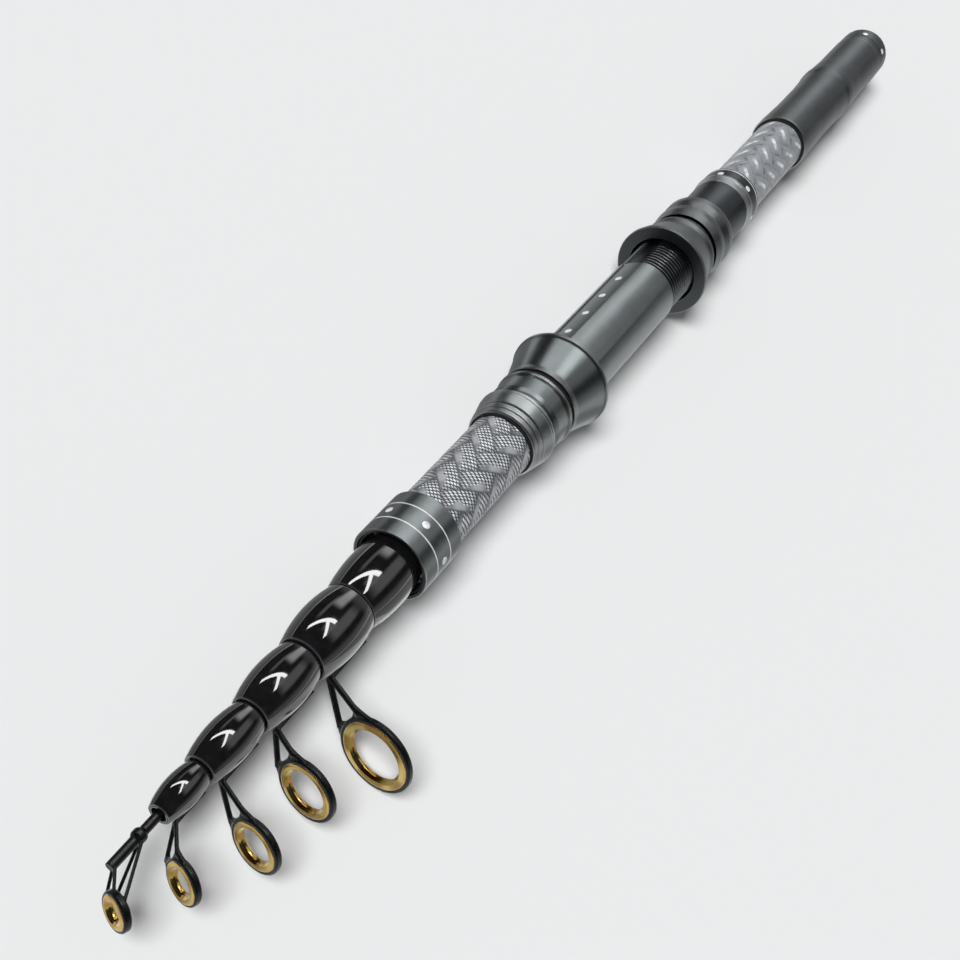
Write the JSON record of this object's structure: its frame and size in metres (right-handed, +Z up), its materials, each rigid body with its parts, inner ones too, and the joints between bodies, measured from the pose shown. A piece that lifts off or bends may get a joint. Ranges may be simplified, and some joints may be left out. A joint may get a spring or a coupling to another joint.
{
  "type": "telescopic fishing rod",
  "caption": "Telescopic fishing rod, closed: a woven handle tube with a screw-down reel seat and metal grip, barrel-ended sections that draw out, and ring line guides.",
  "frame": {"origin": "centre of the flat disc at the end of the butt cap", "axes": "+X along the rod axis from the butt to the tip, +Y to the side that the line guides and the reel stand on, +Z up from the surface that the rod lies on"},
  "size_m": [0.4675, 0.0511, 0.03],
  "materials": {
    "woven_tube": "clear-coated light grey weave",
    "black_lacquer": "gloss black lacquer on composite",
    "grey_metal": "brushed, gunmetal anodised",
    "dark_metal": "turned, dark anodised",
    "grip_metal": "satin, dark anodised",
    "stud_metal": "polished",
    "black_wire": "semi-gloss black",
    "gold_ring": "polished, gold coloured",
    "black_rubber": "matt",
    "black_plastic": "matt"
  },
  "bodies": {
    "handle": {"handle_blank": "woven_tube", "front_collar": "grey_metal", "front_collar_studs": "stud_metal", "mouth_liner": "black_plastic", "check_seal": "black_rubber", "winding_check": "grey_metal", "trim_ring": "grey_metal", "hood_seal": "black_rubber", "fixed_hood": "grey_metal", "reel_seat_body": "grey_metal", "seat_studs": "stud_metal", "thread_barrel": "dark_metal", "seat_end_collar": "dark_metal", "seat_end_studs": "stud_metal", "grip_seal": "black_rubber", "rear_grip": "grip_metal"},
    "sliding_hood": {"sliding_hood": "grey_metal", "hood_washer": "black_plastic"},
    "lock_nut": {"lock_nut": "grey_metal"},
    "cap_carrier": {"cap_seal": "black_rubber"},
    "butt_cap": {"butt_cap": "grip_metal", "butt_cap_studs": "stud_metal", "cap_cushion": "black_rubber"},
    "section_1": {"section_1_blank": "black_lacquer", "section_1_ferrule": "black_lacquer"},
    "section_2": {"section_2_blank": "black_lacquer", "section_2_ferrule": "black_lacquer", "guide_1_frame": "black_wire", "guide_1_ring": "gold_ring"},
    "section_3": {"section_3_blank": "black_lacquer", "section_3_ferrule": "black_lacquer", "guide_2_frame": "black_wire", "guide_2_ring": "gold_ring"},
    "section_4": {"section_4_blank": "black_lacquer", "section_4_ferrule": "black_lacquer", "guide_3_frame": "black_wire", "guide_3_ring": "gold_ring"},
    "section_5": {"section_5_blank": "black_lacquer", "section_5_ferrule": "black_lacquer", "guide_4_frame": "black_wire", "guide_4_ring": "gold_ring"},
    "tip": {"tip_blank": "black_lacquer", "tip_top_frame": "black_wire", "tip_top_ring": "gold_ring"}
  },
  "joints": [
    {"name": "section_1_slide", "type": "slide", "parent": "handle", "child": "section_1", "axis": [1, 0, 0], "range_m": [0, 0.2855]},
    {"name": "section_2_slide", "type": "slide", "parent": "section_1", "child": "section_2", "axis": [1, 0, 0], "range_m": [0, 0.3071]},
    {"name": "section_3_slide", "type": "slide", "parent": "section_2", "child": "section_3", "axis": [1, 0, 0], "range_m": [0, 0.3264]},
    {"name": "section_4_slide", "type": "slide", "parent": "section_3", "child": "section_4", "axis": [1, 0, 0], "range_m": [0, 0.3453]},
    {"name": "section_5_slide", "type": "slide", "parent": "section_4", "child": "section_5", "axis": [1, 0, 0], "range_m": [0, 0.3625]},
    {"name": "tip_slide", "type": "slide", "parent": "section_5", "child": "tip", "axis": [1, 0, 0], "range_m": [0, 0.3755]},
    {"name": "nut_spin", "type": "hinge", "parent": "sliding_hood", "child": "lock_nut", "pos_m": [0.1793, 0, 0], "axis": [1, 0, 0], "range_deg": [0, 4790]},
    {"name": "hood_slide", "type": "slide", "parent": "handle", "child": "sliding_hood", "axis": [1, 0, 0], "range_m": [0, 0.02]},
    {"name": "cap_spin", "type": "hinge", "parent": "cap_carrier", "child": "butt_cap", "pos_m": [0.0071, 0, 0], "axis": [-1, 0, 0], "range_deg": [0, 3160]},
    {"name": "cap_slide", "type": "slide", "parent": "handle", "child": "cap_carrier", "axis": [-1, 0, 0], "range_m": [0, 0.011]}
  ],
  "couplings": [
    {"joint": "hood_slide", "follows": "nut_spin", "m_per_rad": 0.00023873},
    {"joint": "cap_slide", "follows": "cap_spin", "m_per_rad": 0.00019894}
  ]
}
